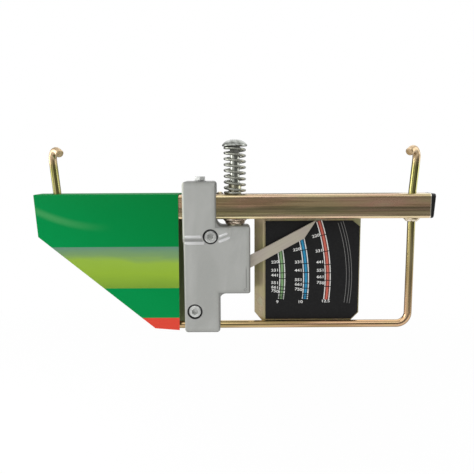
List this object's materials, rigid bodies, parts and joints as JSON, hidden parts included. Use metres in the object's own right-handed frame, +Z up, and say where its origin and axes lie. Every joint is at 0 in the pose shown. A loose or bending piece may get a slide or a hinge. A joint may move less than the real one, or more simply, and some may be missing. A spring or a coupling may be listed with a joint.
{
  "type": "dial tension gauge",
  "caption": "Hook-on gauge for fence wire: a sprung plunger between two hooks pushes the wire, and its travel swings a pointer across a scale plate.",
  "frame": {"origin": "on the plunger's axis, in the gauge's middle plane, at the height where the wire bears under the two hooks", "axes": "+X along the beam towards the dial, +Z up out of the beam along the plunger, -Y the side with the scales"},
  "size_m": [0.4068, 0.0325, 0.1993],
  "materials": {
    "yellow_zinc": "yellow passivated zinc plate, streaky, semi gloss",
    "weld_metal": "weld bead under zinc plate, coppery and rough",
    "bright_zinc": "bright zinc plate",
    "cast_alloy": "matte casting, as cast",
    "satin_steel": "satin sheet steel",
    "black_plastic": "moulded, matte",
    "dial_print": "printed sheet, satin",
    "printed_card": "printed card, satin"
  },
  "bodies": {
    "frame": {"beam": "yellow_zinc", "bent_rod": "yellow_zinc", "rod_weld_left": "yellow_zinc", "rod_weld_right": "yellow_zinc", "guide_bush": "yellow_zinc", "locating_weld": "yellow_zinc", "dial_plate": "yellow_zinc", "plate_weld_top_left": "yellow_zinc", "plate_weld_top_right": "yellow_zinc", "plate_weld_bottom_left": "yellow_zinc", "plate_weld_bottom_right": "yellow_zinc", "bush_weld": "weld_metal", "pivot_pin": "bright_zinc", "housing_screw_upper": "bright_zinc", "housing_screw_lower": "bright_zinc", "clamp_bolt": "bright_zinc", "housing_front": "cast_alloy", "housing_rear": "cast_alloy", "end_cap_left": "black_plastic", "end_cap_right": "black_plastic", "dial_face": "dial_print", "card_sleeve": "printed_card"},
    "plunger": {"plunger_bolt": "bright_zinc", "plunger_spring": "bright_zinc", "stop_nut": "bright_zinc", "lock_nut": "bright_zinc", "cross_pin": "bright_zinc"},
    "pointer_lever": {"pointer": "satin_steel", "pointer_hub": "bright_zinc"}
  },
  "joints": [
    {"name": "plunger_slide", "type": "slide", "parent": "frame", "child": "plunger", "axis": [0, 0, -1], "range_m": [0, 0.0093], "stiffness_N_per_m": 7600, "springref_m": -0.01, "deforming": ["plunger_spring"]},
    {"name": "pointer_pivot", "type": "hinge", "parent": "frame", "child": "pointer_lever", "pos_m": [-0.013, 0, -0.12663], "axis": [0, 1, 0], "range_deg": [0, 38.4]}
  ],
  "couplings": [
    {"joint": "pointer_pivot", "follows": "plunger_slide", "rad_per_m": 71.9}
  ]
}
